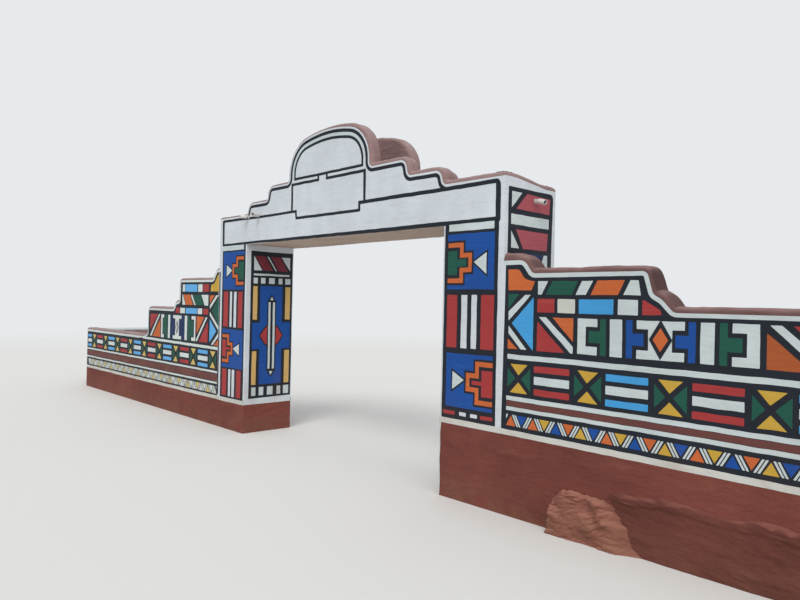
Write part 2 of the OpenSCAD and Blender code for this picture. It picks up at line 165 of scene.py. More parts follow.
class Nodes:
    """Short names for a material's nodes."""

    def __init__(self, name, roughness, specular=0.3):
        self.material = bpy.data.materials.new(name)
        self.material.use_nodes = True
        self.tree = self.material.node_tree
        self.shader = self.tree.nodes["Principled BSDF"]
        self.shader.inputs["Roughness"].default_value = roughness
        self.shader.inputs["Specular IOR Level"].default_value = specular
        self.place = self.add("ShaderNodeTexCoord")["Object"]

    def add(self, kind, feeds=(), **values):
        """A new node's outputs, once its values are set and its sockets fed."""
        node = self.tree.nodes.new(kind)
        for key, value in values.items():
            setattr(node, key, value)
        for socket, value in feeds:
            self.feed(node.inputs[socket], value)
        return node.outputs

    def feed(self, socket, value):
        if isinstance(value, bpy.types.NodeSocket):
            self.tree.links.new(value, socket)
        else:
            socket.default_value = value

    def noise(self, scale, stretch=(1, 1, 1), detail=3, rough=0.5, warp=0):
        place = self.add("ShaderNodeMapping", (("Vector", self.place), ("Scale", stretch)))[0]
        return self.add("ShaderNodeTexNoise", (
            ("Vector", place), ("Scale", scale), ("Detail", detail), ("Roughness", rough), ("Distortion", warp)))["Fac"]

    def ramp(self, value, low, high, out_low=0, out_high=1):
        feeds = enumerate((value, low, high, out_low, out_high))
        return self.add("ShaderNodeMapRange", feeds, interpolation_type="SMOOTHSTEP")["Result"]

    def times(self, a, b):
        return self.add("ShaderNodeMath", enumerate((a, b)), operation="MULTIPLY")[0]

    def mix(self, share, a, b, kind="MIX"):
        return self.add("ShaderNodeMix", ((0, share), (6, a), (7, b)), data_type="RGBA", blend_type=kind)[2]

    def split(self, vector):
        """A vector's X, Y and Z."""
        return self.add("ShaderNodeSeparateXYZ", [(0, vector)])

    def finish(self, colour, roughness, layers):
        """Feeds the shader its colour, its roughness and a stack of (height, distance) pairs."""
        self.feed(self.shader.inputs["Base Color"], colour)
        self.feed(self.shader.inputs["Roughness"], roughness)
        under = []
        for value, distance in layers:
            bump = self.add("ShaderNodeBump", [("Distance", distance), ("Height", value), *under])[0]
            under = [("Normal", bump)]
        self.feed(self.shader.inputs["Normal"], bump)
        return self.material


def wall_paint(name, colour, thin, streak, soil=0.06):
    """Brushed paint on hand-trowelled plaster. The colour thin shows where the coat is thin."""
    n = Nodes(name, 0.62)
    strokes = n.noise(3, (1, 1, 9), detail=4, rough=0.58, warp=0.4)
    upright = n.noise(1.6, (3, 3, 1), detail=4, rough=0.55)
    patches = n.noise(1.7, detail=4, rough=0.55)
    cover = n.times(n.ramp(strokes, 0.48, 0.8), n.ramp(patches, 0.35, 0.7, 0.25, 1))
    base = n.mix(n.times(cover, streak), srgb(*colour), srgb(*thin))
    shade = n.ramp(upright, 0.3, 0.72, 1 - 0.08 * streak, 1 + 0.05 * streak)
    wide = n.ramp(n.noise(0.7, detail=4, rough=0.6), 0.32, 0.68, 0.925, 1.03)
    tone = n.add("ShaderNodeCombineColor", enumerate([n.times(shade, wide)] * 3))[0]
    base = n.mix(1, base, tone, "MULTIPLY")
    low = n.ramp(n.split(n.place)["Z"], 0.45, 1.15, 1, 0)
    stains = n.ramp(n.noise(3.2, (1, 1, 0.6), detail=5, rough=0.65), 0.42, 0.72)
    base = n.mix(n.times(n.times(stains, low), soil * 2.2), base, srgb(152, 104, 80))
    return n.finish(base, n.ramp(strokes, 0.3, 0.7, 0.52, 0.74), [
        (n.noise(2.6, (1, 1, 1.7), detail=4), 0.022), (n.noise(30), 0.0022), (strokes, 0.004)])


def render_coat(name, colour, dark, light, trowel, soil, dust=None, right_face_shade=0):
    """Thick washed plaster: trowel sweeps, pits, faded and dirty patches, dust on what faces up, and painted shade on
    what faces right.
    """
    n, dark = Nodes(name, 0.82, 0.2), srgb(*dark)
    sweeps = n.noise(1.9, (1, 1, 3), detail=6, rough=0.62, warp=0.25)
    blotch = n.noise(0.9, detail=6, rough=0.66, warp=0.2)
    grain = n.noise(52, detail=5, rough=0.7)
    base = n.mix(n.ramp(blotch, 0.34, 0.7, 0, 0.75), srgb(*colour), dark)
    base = n.mix(n.ramp(sweeps, 0.52, 0.8, 0, 0.4), base, srgb(*light))
    base = n.mix(n.ramp(grain, 0.55, 0.8, 0, 0.16), base, dark)
    if dust:
        facing = n.split(n.add("ShaderNodeNewGeometry")["Normal"])
        lying = n.times(n.ramp(facing["Z"], 0.25, 0.95), n.ramp(n.noise(7, detail=5), 0.25, 0.6, 0.45, 1))
        base = n.mix(lying, base, srgb(*dust))
        # painted shade: what faces right is darkened towards the dark colour, standing in for shade on the risers
        base = n.mix(n.ramp(facing["X"], 0.3, 0.8, 0, 0.7 * right_face_shade), base, dark)
    low = n.ramp(n.split(n.place)["Z"], 0, 0.34, 1, 0)
    ground = n.times(low, n.ramp(n.noise(4.5, detail=4), 0.3, 0.6))
    base = n.mix(n.times(ground, soil), base, srgb(121, 92, 72))
    return n.finish(base, n.ramp(grain, 0.3, 0.7, 0.72, 0.92), [
        (sweeps, 0.034 * trowel), (n.noise(9, (1, 1, 2.2), detail=6, rough=0.62), 0.011 * trowel), (grain, 0.0022)])


def metal_coat(name, colour):
    """Powder-coated housing, chalky from the weather, with patches of dust."""
    n = Nodes(name, 0.42, 0.5)
    dust = n.ramp(n.noise(60, detail=4), 0.4, 0.75, 0, 0.5)
    return n.finish(n.mix(dust, colour, srgb(150, 140, 125)), n.ramp(n.noise(90), 0.3, 0.7, 0.35, 0.6),
                    [(n.noise(420, detail=2), 0.0003)])


def lens_glass(name):
    """Dark coated glass, a little cloudy."""
    n = Nodes(name, 0.06, 0.6)
    n.feed(n.shader.inputs["Base Color"], n.mix(n.ramp(n.noise(200), 0.4, 0.7), srgb(14, 15, 19), srgb(30, 32, 40)))
    n.shader.inputs["Coat Weight"].default_value = 0.6
    return n.material


# name: colour, colour where thin, strength of the brush marks, dirt near the ground
PAINTS = {
    "wall_paint": ((207, 213, 219), (178, 182, 184), 0.55, 0.12),
    "line_white": ((197, 207, 208), (170, 174, 170), 0.55, 0.14),
    "dusty_white": ((201, 201, 195), (174, 168, 156), 0.55, 0.12),
    "mint_white": ((207, 215, 213), (182, 190, 187), 0.35, 0.1),
    "cream_paint": ((202, 205, 196), (182, 180, 166), 0.4, 0.16),
    "black_paint": ((23, 30, 40), (42, 50, 60), 0.4, 0.03),
    "blue_paint": ((12, 72, 150), (40, 98, 176), 0.6),
    "sky_paint": ((64, 154, 214), (104, 182, 226), 0.5),
    "pale_sky": ((94, 168, 224), (134, 192, 232), 0.5),
    "red_paint": ((162, 52, 53), (180, 80, 76), 0.55),
    "rose_red": ((163, 77, 86), (180, 104, 108), 0.6),
    "maroon_paint": ((116, 40, 52), (140, 62, 70), 0.45),
    "orange_paint": ((196, 98, 48), (208, 130, 86), 0.6),
    "yellow_paint": ((196, 158, 58), (208, 182, 108), 0.55),
    "sand_yellow": ((207, 170, 104), (214, 188, 138), 0.4),
    "pale_yellow": ((205, 182, 104), (214, 198, 140), 0.4),
    "green_paint": ((22, 82, 68), (50, 108, 90), 0.6),
    "navy_paint": ((18, 44, 88), (34, 64, 112), 0.4),
    "deep_orange": ((164, 82, 40), (186, 108, 66), 0.45),
    "band_brown": ((101, 58, 54), (126, 86, 80), 0.5, 0.12),
}
# name: colour, colour of the dark and of the light patches, strength of the trowel's marks, dirt near the ground,
# dust on what faces up, and how far what faces right is darkened as painted shade
COATS = {
    "plinth_paint": ((127, 70, 60), (101, 55, 48), (149, 91, 78), 1, 0.35),
    "coping_paint": ((150, 124, 122), (122, 94, 92), (170, 144, 139), 0.8, 0, (160, 140, 139)),
    # its last column darkens what faces right, a painted shade
    "wall_coping": ((112, 84, 81), (72, 50, 50), (140, 108, 102), 0.8, 0, (144, 115, 113), 1),
    "foot_plaster": ((110, 63, 54), (86, 48, 42), (138, 84, 74), 1.2, 0.12, (146, 92, 82)),
    "rear_plaster": ((140, 100, 92), (116, 80, 74), (162, 122, 114), 0.8, 0.35),
    "broken_plaster": ((146, 94, 80), (104, 62, 52), (180, 128, 110), 0.9, 0.25, (160, 110, 94)),
    "soffit_plaster": ((181, 161, 147), (158, 137, 122), (198, 181, 168), 0.5, 0),
}
MATERIALS = {name: coat(name, *row) for coat, table in ((wall_paint, PAINTS), (render_coat, COATS))
             for name, row in table.items()}
MATERIALS["camera_shell"] = metal_coat("camera_shell", srgb(220, 216, 214))
MATERIALS["camera_metal"] = metal_coat("camera_metal", srgb(198, 196, 194))
MATERIALS["lens_glass"] = lens_glass("lens_glass")
# the part's slots that the other materials stand for
SLOTS = {name: slot for slot, names in (
    ("wall_paint", "line_white dusty_white mint_white cream_paint"), ("sky_paint", "pale_sky"),
    ("blue_paint", "navy_paint"), ("red_paint", "rose_red maroon_paint"), ("orange_paint", "deep_orange"),
    ("yellow_paint", "sand_yellow pale_yellow"), ("coping_paint", "wall_coping band_brown rear_plaster"),
    ("plinth_paint", "foot_plaster broken_plaster")) for name in names.split()}


def new_piece(name, vertices, faces, material, smooth=False):
    """A new piece with its material and the body that it rides on."""
    mesh = bpy.data.meshes.new(name)
    mesh.from_pydata(vertices, [], faces)
    mesh.polygons.foreach_set("use_smooth", [smooth] * len(mesh.polygons))
    mesh.update()
    obj = bpy.data.objects.new(name, mesh)
    scene.collection.objects.link(obj)
    mesh.materials.append(MATERIALS[material])
    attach(obj, "root")
    return obj


def round_piece(name, vertices, faces, material, sharp):
    """A smooth piece, its faces turned outwards; edges over so many degrees stay sharp."""
    piece = new_piece(name, vertices, faces, material, True)
    shape = bmesh.new()
    shape.from_mesh(piece.data)
    bmesh.ops.recalc_face_normals(shape, faces=shape.faces)
    shape.to_mesh(piece.data)
    shape.free()
    piece.data.set_sharp_from_angle(angle=radians(sharp))
    return piece


def bumps(x, y, z):
    """Smooth noise between about -1 and 1."""
    return noise.noise(Vector((x, y, z)))


# Every node of the solid model gets the material of its slot
for part in frame["record"]["subparts"]:
    node = frame["nodes"][part["node"]]
    node.data.materials.clear()
    node.data.materials.append(MATERIALS[part["material_slot"]])

# --- painting
WHITE, BLACK, RED, ORANGE = "line_white", "black_paint", "red_paint", "orange_paint"
YELLOW, GREEN, BLUE, SKY = "yellow_paint", "green_paint", "blue_paint", "sky_paint"
LIFT = 0.0007
STEP = 0.02
BLUNT = 0.003
STRAIGHT = radians(158)
FACES = []


def turning(outline):
    """Twice an outline's area, above zero where it runs anticlockwise."""
    return sum(a.x * b.y - b.x * a.y for a, b in zip(outline, outline[1:] + outline[:1]))


class Face:
    """A flat side of the masonry: zero point, the way u runs, the way it looks, the way v runs; z may be left out."""

    def __init__(self, name, origin, along, out, up=(0, 0, 1)):
        self.name = name
        self.origin, self.along, self.out, self.up = (Vector(v).to_3d() for v in (origin, along, out, up))
        self.flip = self.along.cross(self.up).dot(self.out) < 0
        self.work, self.swaps, self.sag, self.count = {}, {}, None, 0
        FACES.append(self)

    def put(self, colour, outline, layer=2, wander=1):
        """One painted shape, given by its outline in u and v."""
        self.count += 1
        colour = self.swaps.get(colour, colour)
        shape = hand_drawn([Vector(p) for p in outline], self.count * 0.37, wander)
        if self.sag:
            shape = [Vector((p.x, p.y - self.sag(p.x, p.y))) for p in shape]
        if (turning(shape) < 0) != self.flip:
            shape.reverse()
        lift = layer * LIFT + (self.count % 60) * 0.000008
        vertices, faces = self.work.setdefault(colour, ([], []))
        start, n = len(vertices), len(shape)
        for depth in (lift, 0):
            vertices += [self.origin + self.along * p.x + self.up * p.y + self.out * depth for p in shape]
        faces.append(list(range(start, start + n)))
        faces += [(start + i, start + n + i, start + n + (i + 1) % n, start + (i + 1) % n) for i in range(n)]

    def box(self, colour, u0, u1, v0, v1, layer=2):
        self.put(colour, [(u0, v0), (u1, v0), (u1, v1), (u0, v1)], layer)

    def dry(self):
        """Makes one piece for each colour on this side."""
        for colour, (vertices, faces) in self.work.items():
            new_piece(f"{self.name}_{colour}", vertices, faces, colour)


def hand_drawn(outline, seed, wander):
    """Cuts an outline into short lengths, blunts its corners and lets it wander as a brush does."""
    marks = []
    for i, spot in enumerate(outline):
        back, on = outline[i - 1] - spot, outline[(i + 1) % len(outline)] - spot
        if min(back.length, on.length) > 3 * BLUNT and back.angle(on) < STRAIGHT:
            marks += [spot + back.normalized() * BLUNT, spot + on.normalized() * BLUNT]
        else:
            marks.append(spot)
    dense = []
    for a, b in zip(marks, marks[1:] + marks[:1]):
        n = max(1, round((b - a).length / STEP))
        dense += [a.lerp(b, k / n) for k in range(n)]
    moved = []
    for p in dense:
        wide = noise.noise_vector(Vector((p.x * 2.3, p.y * 2.3, 0)))
        fine = noise.noise_vector(Vector((p.x * 9, p.y * 9, seed)))
        moved.append(p + (wide.xy * 0.0036 + fine.xy * 0.0028) * wander)
    return moved


def grown(outline, d):
    """An outline moved outwards by d, with sharp corners."""
    pts = [Vector(p) for p in outline]
    side = copysign(1, turning(pts))
    out = []
    for i, p in enumerate(pts):
        e1 = (p - pts[i - 1]).normalized()
        e2 = (pts[(i + 1) % len(pts)] - p).normalized()
        join = Vector((e1.y, -e1.x)) * side + Vector((e2.y, -e2.x)) * side
        reach = min(2.2, 2 / max(join.length_squared, 0.2))
        out.append(tuple(p + join * d * reach))
    return out


def outlined(face, colour, outline, line=0.016, layer=3):
    """A coloured shape with its black outline."""
    face.put(BLACK, grown(outline, line), layer)
    face.put(colour, outline, layer + 1)


def slants(face, v0, v1, blocks):
    """A row of blocks: colour, top from and to, and bottom from and to where the sides slant."""
    for colour, t0, t1, *foot in blocks:
        b0, b1 = foot or (t0, t1)
        face.put(colour, [(t0, v1), (t1, v1), (b1, v0), (b0, v0)])


def shapes(face, table):
    """Painted shapes, each given by its colour and its corners."""
    for colour, *outline in table:
        face.put(colour, outline)


def black_lines(face, table):
    """Black shapes, each given by its layer and its corners."""
    for layer, *outline in table:
        face.put(BLACK, outline, layer)


def ribbon(line, d1, d2):
    """The strip of wall between two depths under a profile line."""
    return below(line, d1) + below(line, d2)[::-1]


def chevron(face, spots, centre, half, nose, heart, paint):
    """A stepped arrow, open at its back, round a filled heart. spots: its back, its step and its tip."""
    back, step, tip = spots
    way, t = copysign(1, tip - back), 0.044
    s, e = abs(step - back), abs(tip - back)
    stepped = lambda s, e, h, n: [(0, h), (s, h), (s, n), (e, n), (e, -n), (s, -n), (s, -h), (0, -h)]
    place = lambda shape: [(back + way * u, centre + v) for u, v in shape]
    outer, inner = stepped(s, e, half, nose), stepped(s - t, e - t, half - t, nose - t)
    face.put(BLACK, grown(place(outer), 0.02), 3)
    face.put(ORANGE, place(outer + inner[::-1]), 4)
    face.put(paint, place(stepped(s - 0.076, e - 0.07, half - 0.076, heart)), 4)


# u runs outwards from the pier's edge beside the passage
PIERS = {
    "right": dict(
        plinth=0.708, line=0.76, black=(0.025, 0.677), blue=((0.063, 0.635), (0.073, 0.64)), cap=(0.075, 0.625),
        upper=(1.985, 2.508), middle=(1.434, 1.933), lower=(0.874, 1.38), low=(0.799, 0.833),
        bars=((0.066, 0.1975), (0.25, 0.3235), (0.3755, 0.441), (0.49, 0.64)),
        low_bars=((0.0475, 0.194), (0.25, 0.332), (0.385, 0.467), (0.505, 0.647)),
        out=((0.07, 0.265, 0.37), 2.2345, 0.19, 0.09), out_tip=((0.396, 2.236), (0.546, 2.323), (0.546, 2.124)),
        back=((0.64, 0.437, 0.325), 1.123, 0.197, 0.086), back_tip=((0.299, 1.136), (0.156, 1.211), (0.156, 1.039))),
    "left": dict(
        plinth=0.386, line=0.4435, black=(0.015, 0.655), blue=((0.044, 0.624), (0.044, 0.628)), cap=(0.063, 0.664),
        upper=(1.98, 2.515), middle=(1.45, 1.95), lower=(0.874, 1.417), low=(0.47, 0.852),
        bars=((0.072, 0.1935), (0.24, 0.308), (0.363, 0.421), (0.472, 0.602)),
        low_bars=((0.08, 0.202), (0.254, 0.325), (0.363, 0.422), (0.476, 0.605)),
        out=((0.054, 0.259, 0.363), 2.243, 0.198, 0.0955), out_tip=((0.376, 2.25), (0.528, 2.328), (0.528, 2.163)),
        back=((0.61, 0.424, 0.32), 1.143, 0.197, 0.087), back_tip=((0.3065, 1.148), (0.141, 1.222), (0.141, 1.065))),
}


def pier_front(face, at):
    """The painted front of a pier: two blue fields with arrows, and bars between them."""
    face.box(BLACK, *at["black"], at["line"] - 0.002, 2.602, 1)
    face.box(WHITE, *at["cap"], 2.536, 2.603)
    for field, span in zip(("upper", "lower"), at["blue"]):
        face.box(BLUE, *span, *at[field])
    chevron(face, *at["out"], 0.036, GREEN)
    chevron(face, *at["back"], 0.019, RED)
    for tip in ("out_tip", "back_tip"):
        outlined(face, WHITE, at[tip])
    for row, bars in (("middle", "bars"), ("low", "low_bars")):
        for colour, span in zip((RED, "wall_paint", "wall_paint", RED), at[bars]):
            face.box(colour, *span, *at[row])
    face.box("dusty_white", 0, PIER_W, at["plinth"], at["line"])


def pier_inside(face):
    """The painted side of a pier in the passage; u runs from front to rear."""
    face.put(BLACK, [(0.08, 0.468), (0.764, 0.48), (0.764, 2.52), (0.08, 2.52)], 1)
    low, high, mid = 2.255, 2.455, 0.427
    shapes(face, [
        (WHITE, (0.126, low), (0.126, high), (0.258, low)),
        *[("maroon_paint", (s, high), (s + 0.154, high), (s + 0.288, low), (s + 0.13, low)) for s in (0.148, 0.398)],
        (WHITE, (0.336, high), (0.36, high), (0.498, low), (0.48, low)),
        (WHITE, (0.574, high), (0.72, high), (0.72, low + 0.01))])
    face.box(WHITE, 0.124, 0.712, 2.182, 2.208)
    for s0, s1 in ((0.124, 0.19), (0.242, 0.315), (0.373, 0.468), (0.532, 0.594), (0.642, 0.73)):
        face.box(WHITE, s0, s1, 2.072, 2.152)
        face.box(WHITE, s0, s1, 0.506, 0.624)
    face.put(BLUE, [(0.236, 0.66), (0.598, 0.66), (0.598, 1.154), (0.736, 1.154), (0.736, 1.526), (0.598, 1.526),
                    (0.598, 2.04), (0.236, 2.04), (0.236, 1.526), (0.116, 1.526), (0.116, 1.154), (0.236, 1.154)])
    for s0, s1 in ((0.12, 0.189), (0.648, 0.73)):
        face.box("sand_yellow", s0, s1, 1.568, 2.034)
        face.box("sand_yellow", s0, s1, 0.66, 1.126)
    # the red diamond behind the double bar
    half = ((-0.183, 0), (-0.112, 0.1), (-0.05, 0.15), (0.05, 0.15), (0.108, 0.1), (0.176, 0))
    around = [*half, *[(s, -z) for s, z in half[-2:0:-1]]]
    outlined(face, RED, [(mid + s, 1.341 + z) for s, z in around], 0.018)
    tip = mid - 0.002
    face.put(BLACK, [(0.357, 0.85), (0.357, 1.825), (tip, 1.922), (0.498, 1.825), (0.498, 0.85), (tip, 0.755)], 5)
    for s0, s1 in ((0.374, 0.406), (0.445, 0.479)):
        face.box(WHITE, s0, s1, 0.875, 1.812, 6)
    face.put(WHITE, [(0.398, 1.844), (0.452, 1.844), (tip, 1.89)], 6)
    face.put(WHITE, [(0.394, 0.84), (0.458, 0.84), (tip, 0.786)], 6)


def pier_outside(face, base):
    """The painted outer side of a pier; u runs from front to rear."""
    face.box("wall_paint", DEPTH - LEAF - 0.01, DEPTH - 0.003, 2.88, WING - DROP - 0.002, 1)
    face.put(BLACK, [(0.044, base), (0.716, base), (0.722, 2.1), (0.74, 2.87), (0.728, 2.903), (0.7, 2.912),
                     (0.048, 2.912)], 1)
    a, b = 0.096, 0.662
    shapes(face, [
        (WHITE, (a + 0.002, 2.872), (0.25, 2.872), (a + 0.002, 2.726)),
        ("rose_red", (0.326, 2.872), (0.69, 2.86), (0.68, 2.714), (0.165, 2.72)),
        (WHITE, (a - 0.006, 2.575), (b + 0.012, 2.575), (b + 0.012, 2.67), (a - 0.006, 2.67)),
        ("rose_red", (0.164, 2.532), (b, 2.532), (b - 0.01, 2.364), (0.276, 2.36)),
        (WHITE, (a, 2.516), (a, 2.362), (0.214, 2.362)),
        # below this the boundary wall hides the front third of the side
        ("navy_paint", (0.3, 2.322), (0.59, 2.322), (0.5, 2.13), (0.22, 2.13)),
        (WHITE, (0.606, 2.322), (b, 2.322), (b, 2.13), (0.52, 2.13))])
    for i, top in enumerate((2.085, 1.76, 1.435, 1.11, 0.785)):
        foot = top - 0.28
        if foot >= base + 0.03:
            slants(face, foot, top, [
                ((SKY, RED)[i % 2], 0.24, 0.5, 0.24, 0.37), (WHITE, 0.535, b, 0.405, b)])


def saltire(face, u0, u1, v0, v1, yellow):
    """A black saltire on green, with yellow above and below."""
    h, m, c = v1 - v0, (u0 + u1) / 2 - 0.007 + 0.005 * sin(9 * u0), (v0 + v1) / 2
    gap, side = 0.125 * h, 0.12 * (u1 - u0)
    for v, nib in ((v1, gap), (v0, -gap)):
        face.put(yellow, [(u0 + side, v), (u1 - side, v), (m, c + nib)])
    for u, top, foot, nib in ((u0, 0.145, 0.165, -gap), (u1, 0.105, 0.085, 0.9 * gap)):
        face.put(GREEN, [(u, v1 - top * h), (u, v0 + foot * h), (m + nib, c)])


def saltire_row(face, first, period, width, end, v0, v1, colours, gaps=(0.037, 0.046), yellow=YELLOW):
    """Squares with a saltire, and between them three bars: coloured, white, coloured."""
    h, u, i = v1 - v0, first, 0
    while u + width < end + 0.02:
        saltire(face, u, u + width, v0, v1, yellow)
        s0, s1 = u + width + gaps[0], end if u + period + width >= end + 0.02 else u + period - gaps[1]
        if s1 - s0 > 0.06:
            for colour, a, b in ((colours[i % 2], 0.78, 1), (WHITE, 0.365, 0.635), (colours[i % 2], 0, 0.211)):
                face.box(colour, s0, s1, v0 + a * h, v0 + b * h)
        u, i = u + period, i + 1


def triangle_row(face, first, end, v0, v1, spacing, paints, first_paint, drift=0):
    """Small triangles, point up and point down by turns, with double white lines between them."""
    half, lean, start, i = 0.44 * spacing, 0.45 * spacing, first, 0
    u = start + between(drift, start)
    face.put(WHITE, [(u - half, v1), (u - 0.25 * spacing, v1), (u - half, v1 - 0.36 * spacing)], 2, 0.3)
    while start + half < end:
        u = start + between(drift, start)
        foot, tip = (v0, v1) if i % 2 == 0 else (v1, v0)
        peak = tip + 0.1 * (foot - tip)
        paint = paints[i % len(paints)] if i else first_paint
        face.put(paint, [(u - half, foot), (u + half, foot), (u, peak)], 2, 0.3)
        for k in (0.17, 0.385):
            a, w = u + k * spacing, 0.07 * spacing
            if a + lean + w < end:
                face.put(WHITE, [(a - w, tip), (a + w, tip), (a + lean + w, foot), (a + lean - w, foot)], 2, 0.3)
        start, i = start + spacing, i + 1


def great_band(face, mid, v0, v1, sides, share, diamond, heart, heart_paint, rise, arms, arm_paint, line):
    """The broad band round the black-edged diamond. sides: for the far and the near side of mid the white block's
    edge and neck, the first arm's near and far edge and tip, the bar's edges, the green arm's, the bracket's."""
    c, h = (v0 + v1) / 2, v1 - v0
    low, high = v0 + share * h, v1 - share * h
    for way, ((block, neck), first, bar, green, (mouth, inner, outer)) in zip((1, -1), sides):
        def notched(a, b, tip, top, foot):
            """From a to b over the whole height, and on to the tip between top and foot."""
            return [(mid + way * d, z) for d, z in (
                (a, v1), (b, v1), (b, top), (tip, top), (tip, foot), (b, foot), (b, v0), (a, v0))]

        face.put(WHITE, notched(0, block, neck, high, low))
        for (near, far, tip), reach, colour in ((first, arms[0] * h, arm_paint), (green, arms[1] * h, GREEN)):
            ends = (far, near) if tip < near else (near, far)
            outlined(face, colour, notched(*ends, tip, c + reach, c - reach), line, 4)
        face.put(WHITE, [(mid + way * d, z) for d, z in zip((bar[0], bar[1], bar[1], bar[0]), (v1, v1, v0, v0))])
        face.put(WHITE, notched(outer, mouth, inner, high, low))
    z = c + rise
    for colour, (wide, tall), layer in ((BLACK, diamond, 6), (heart_paint, heart, 7)):
        face.put(colour, [(mid, z + tall * h), (mid + wide, z), (mid, z - tall * h), (mid - wide, z)], layer, 0.5)


def diagonal_panel(face, a, b, v0, v1, low, high, low_top):
    """Two colours parted by a white diagonal that falls from a to b; the low one rises to the share low_top."""
    w, h = b - a, v1 - v0
    shapes(face, [
        (low, (a, v0 + low_top * h), (a + 0.78 * w, v0), (a, v0)),
        (WHITE, (a + 0.046 * w, v1), (a + 0.25 * w, v1), (b, v0 + 0.19 * h), (b, v0), (a + 0.937 * w, v0)),
        (high, (a + 0.437 * w, v1), (b, v1), (b, v0 + 0.324 * h))])


# --- the gateway
def gateway_side(face, line, drop, mid, rear=False):
    """The white beam, its outlines and the parapet's lines; u is measured from the middle, the arch's is at mid."""
    d = lambda z: z - drop
    face.put(BLACK, ribbon([m for m in line if abs(m[0]) < 1.872 and m[1] > d(2.995)], 0.022, 0.06), 2, 0.6)
    arch = [m for m in line if abs(m[0] - mid) < ARCH_HALF + 0.005 and m[1] > d(SHOULDER_2) + 0.13]
    inner, lower, foot, bar = below(arch, 0.098), below(arch, 0.13), d(3.371), 0.029
    edge, core = max(p[0] for p in inner) - mid, max(p[0] for p in lower) - mid
    face.put(BLACK, [(mid - edge, foot), *inner, (mid + edge, foot), (mid + core, foot), *lower[::-1],
                     (mid - core, foot)], 2, 0.6)
    face.box(BLACK, mid - edge, mid + edge, foot - bar, foot + 0.002)
    face.put(WHITE, ribbon(arch, 0.06, 0.098), 1, 0.6)
    if rear:
        face.box(BLACK, -2.5, 2.5, d(2.944), d(2.976))
    else:
        for u0, u1 in ((-0.782, -0.198), (-0.066, 0.662)):
            face.box(BLACK, u0, u1, 3.278, 3.311)
        for u in (-0.214, -0.048):
            face.box(BLACK, u - 0.016, u + 0.016, 3.281, foot - bar + 0.004, 3)
        face.box(BLACK, -0.78, -0.743, 2.944, 3.306, 3)
        black_lines(face, [
            (3, (0.62, 3.306), (0.662, 3.306), (0.668, 2.95), (0.632, 2.95)),
            (2, (-2.504, 2.943), (-1.9, 2.94), (-1.3, 2.936), (-0.656, 2.94), (-0.656, 2.971), (-1.3, 2.967),
             (-1.9, 2.974), (-2.504, 2.979)),
            (2, (0.545, 2.928), (1.6, 2.933), (2.5, 2.941), (2.5, 2.981), (1.6, 2.974), (0.545, 2.967)),
            (3, (-0.696, 2.97), (-0.66, 2.97), (-0.645, 2.86), (-0.676, 2.86)),
            (3, (0.545, 2.86), (0.58, 2.86), (0.58, 2.968), (0.545, 2.968)),
            (2, (-0.676, 2.854), (0.58, 2.847), (0.58, 2.88), (-0.676, 2.887))])
    black_lines(face, [
        (1, (-2.508, 2.605), (0, 2.6), (2.536, 2.595), (2.536, 2.64), (0, 2.638), (-2.508, 2.637)),
        (3, (-2.511, 2.612), (-2.467, 2.612), (-2.472, d(2.974)), (-2.52, d(2.97)), (-2.524, d(2.95))),
        (3, (2.485, 2.61), (2.54, 2.61), (2.537, d(2.92)), (2.53, d(2.952)), (2.512, d(2.974)), (2.482, d(2.98)))])


gateway_side(Face("front", (0, FRONT), (1, 0), (0, -1)), PARAPET, 0, -ARCH_OFFSET)
gateway_side(Face("rear", (0, REAR), (-1, 0), (0, 1)), [(-x, z, -h) for x, z, h in reversed(REAR_PARAPET)],
             DROP, ARCH_OFFSET, True)
for side, word in ((1, "right"), (-1, "left")):
    for y, out, way in ((FRONT, -1, "front"), (REAR, 1, "rear")):
        pier_front(Face(f"{word}_pier_{way}", (side * INNER, y), (side, 0), (0, out)), PIERS[word])
    pier_inside(Face(f"{word}_pier_inside", (side * INNER, FRONT), (0, 1), (-side, 0)))
    pier_outside(Face(f"{word}_pier_outside", (side * HALF, FRONT), (0, 1), (side, 0)), PIERS[word]["line"])
# white that ran down the right pier's corner over the brown foot
Face("corner_wash", (INNER, FRONT), (1, 0), (0, -1)).put(WHITE, [
    (0.002, 0.012), (0.013, 0.01), (0.02, 0.18), (0.011, 0.33), (0.017, 0.49), (0.012, 0.61), (0.024, 0.712),
    (0.002, 0.712)], 1)
# the dark strip down the left pier's outer edge
Face("corner_strip", (-HALF, FRONT), (1, 0), (0, -1)).box(BLACK, 0.001, 0.032, 0.462, 2.24, 1)
# the passage's ceiling is one plaster from front to rear
ceiling = Face("ceiling", (0, FRONT, OPEN_H), (1, 0, 0), (0, 0, -1), (0, 1, 0))
for v0, v1 in ((0.004, LEAF), (DEPTH - LEAF, DEPTH - 0.004)):
    ceiling.put("soffit_plaster", [(-INNER, v0), (INNER, v0), (INNER, v1), (-INNER, v1)], 1, 0.3)

# --- the boundary walls' fronts; u runs outwards from the pier
def plain_bands(face, u0, u1, *rows):
    """White, brown and white bands, from the top."""
    for colour, row in zip((WHITE, "band_brown", WHITE), rows):
        face.box(colour, u0, u1, *row)


